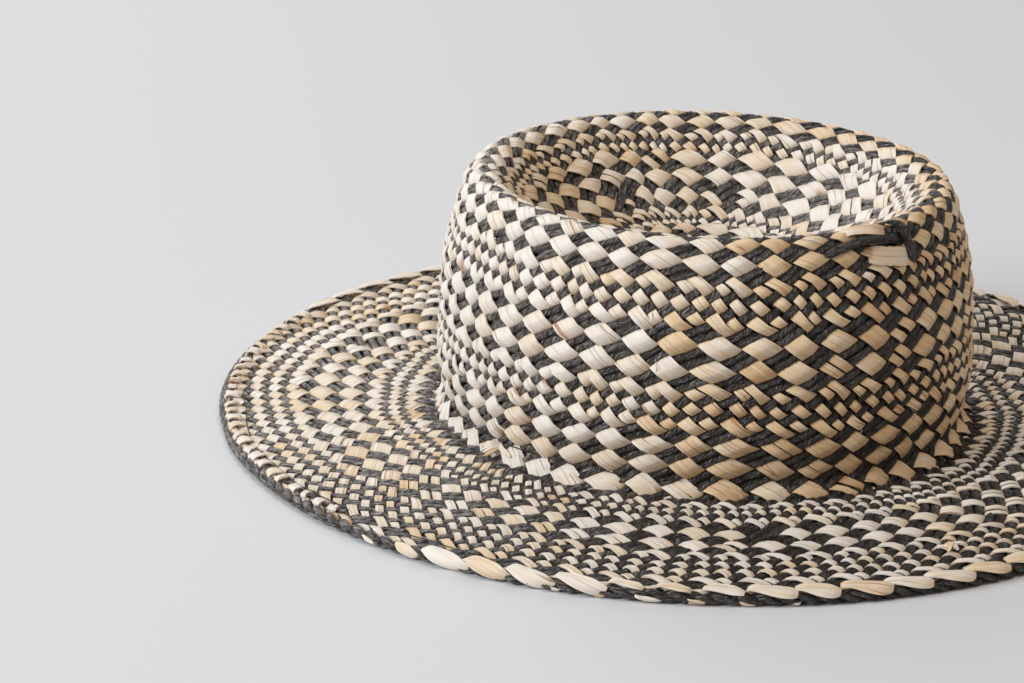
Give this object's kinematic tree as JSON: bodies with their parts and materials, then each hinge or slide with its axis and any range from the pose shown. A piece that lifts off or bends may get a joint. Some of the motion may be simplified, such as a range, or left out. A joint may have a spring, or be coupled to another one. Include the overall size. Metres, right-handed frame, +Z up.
{
  "type": "woven straw hat with a dished round crown",
  "caption": "Hand-woven straw hat with a round dished crown and a wide flat brim, in a check of natural strips and dark cords, with a plaited edge.",
  "frame": {"origin": "centre of the hat's outline, on the surface that the brim's edge rests on", "axes": "+Z up through the crown, +X towards the front of the head, the long way of the oval, Y from ear to ear"},
  "size_m": [0.3676, 0.3476, 0.096],
  "materials": {
    "natural_straw": "flat strips of natural straw, matt with a faint sheen, pale cream to tan with fine brown streaks along the fibre",
    "dark_straw": "twisted cords of charcoal-dyed straw, matt, with fine fibres along the twist"
  },
  "bodies": {
    "root": {"crown_tip": "natural_straw", "crown_side": "natural_straw", "brim": "natural_straw", "brim_edge": "dark_straw"}
  },
  "joints": []
}
